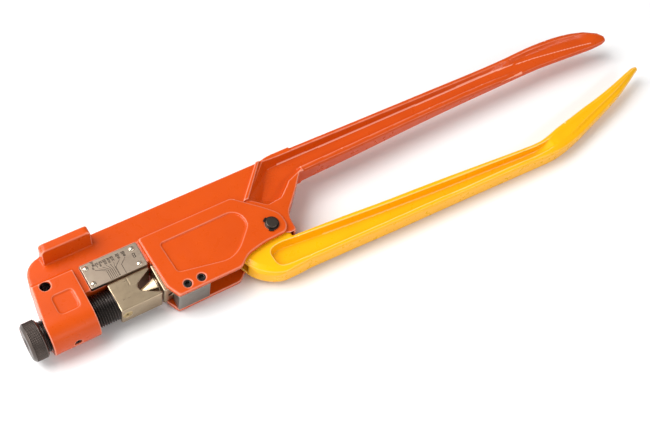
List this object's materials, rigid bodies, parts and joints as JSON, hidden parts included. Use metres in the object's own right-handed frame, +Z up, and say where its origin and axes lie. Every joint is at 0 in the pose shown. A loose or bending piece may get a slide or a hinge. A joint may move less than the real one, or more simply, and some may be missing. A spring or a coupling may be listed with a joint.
{
  "type": "cable lug crimping tool",
  "caption": "Long-handled steel indent crimper with a C-frame head, screw-set vee anvil, toggle-driven ram, fixed orange handle and hinged yellow handle.",
  "frame": {"origin": "on the ground under the middle of the tool, which lies on its back on the edge of its foot pad, the end of its pivot pin and the bend of its moving handle", "axes": "+X along the tool from the adjusting knob to the handle ends, +Y from the moving handle to the fixed handle, +Z up, out of the side with the size plate"},
  "size_m": [0.6032, 0.1102, 0.0574],
  "materials": {
    "orange_paint": "glossy orange-red enamel over a steel casting, with rounded cast edges",
    "yellow_paint": "glossy golden yellow enamel over a steel casting",
    "satin_nickel": "satin nickel plate, warm grey, lightly brushed",
    "ground_steel": "plain ground steel, dull grey",
    "etched_plate": "satin metal plate with fine etched scale lines",
    "black_oxide": "black oxide steel with a trace of oil",
    "dark_steel": "dark hardened steel",
    "knurled_steel": "browned steel with a fine knurled rim"
  },
  "bodies": {
    "frame": {"body_casting": "orange_paint", "size_plate": "etched_plate", "plate_rivet_1": "ground_steel", "plate_rivet_2": "ground_steel", "plate_rivet_3": "ground_steel", "plate_rivet_4": "ground_steel", "guide_block": "ground_steel", "guide_block_screw_1": "black_oxide", "guide_block_screw_2": "black_oxide", "head_lock_screw": "black_oxide", "pivot_pin": "dark_steel", "pivot_clip_front": "black_oxide", "pivot_clip_rear": "black_oxide"},
    "lever": {"moving_handle": "yellow_paint", "link_pin": "dark_steel"},
    "link": {"toggle_link": "dark_steel", "ram_pin": "dark_steel"},
    "ram": {"ram": "satin_nickel", "indenter": "satin_nickel", "indenter_grub_screw": "black_oxide"},
    "anvil": {"anvil_block": "satin_nickel", "anvil_retaining_screw": "ground_steel"},
    "screw": {"adjusting_screw": "black_oxide", "adjusting_knob": "knurled_steel", "knob_grub_screw": "black_oxide"}
  },
  "joints": [
    {"name": "lever_hinge", "type": "hinge", "parent": "frame", "child": "lever", "pos_m": [-0.09084, -0.00702, 0.01847], "axis": [-0.0091, 0.1603, -0.987], "range_deg": [0, 32]},
    {"name": "link_swing", "type": "hinge", "parent": "lever", "child": "link", "pos_m": [-0.11884, -0.00704, 0.01873], "axis": [0.0091, -0.1603, 0.987], "range_deg": [0, 51.4]},
    {"name": "ram_slide", "type": "slide", "parent": "frame", "child": "ram", "axis": [1, 0.0007, -0.0091], "range_m": [0, 0.0068]},
    {"name": "anvil_slide", "type": "slide", "parent": "frame", "child": "anvil", "axis": [1, 0.0007, -0.0091], "range_m": [-0.017, 0.001]},
    {"name": "screw_spin", "type": "hinge", "parent": "anvil", "child": "screw", "pos_m": [-0.22944, -0.00712, 0.01973], "axis": [1, 0.0007, -0.0091], "range_deg": [-3062, 182]}
  ],
  "couplings": [
    {"joint": "link_swing", "follows": "lever_hinge", "ratio": 1.6016},
    {"joint": "ram_slide", "follows": "lever_hinge", "m_per_rad": 0.012122},
    {"joint": "screw_spin", "follows": "anvil_slide", "rad_per_m": 3141.6}
  ]
}
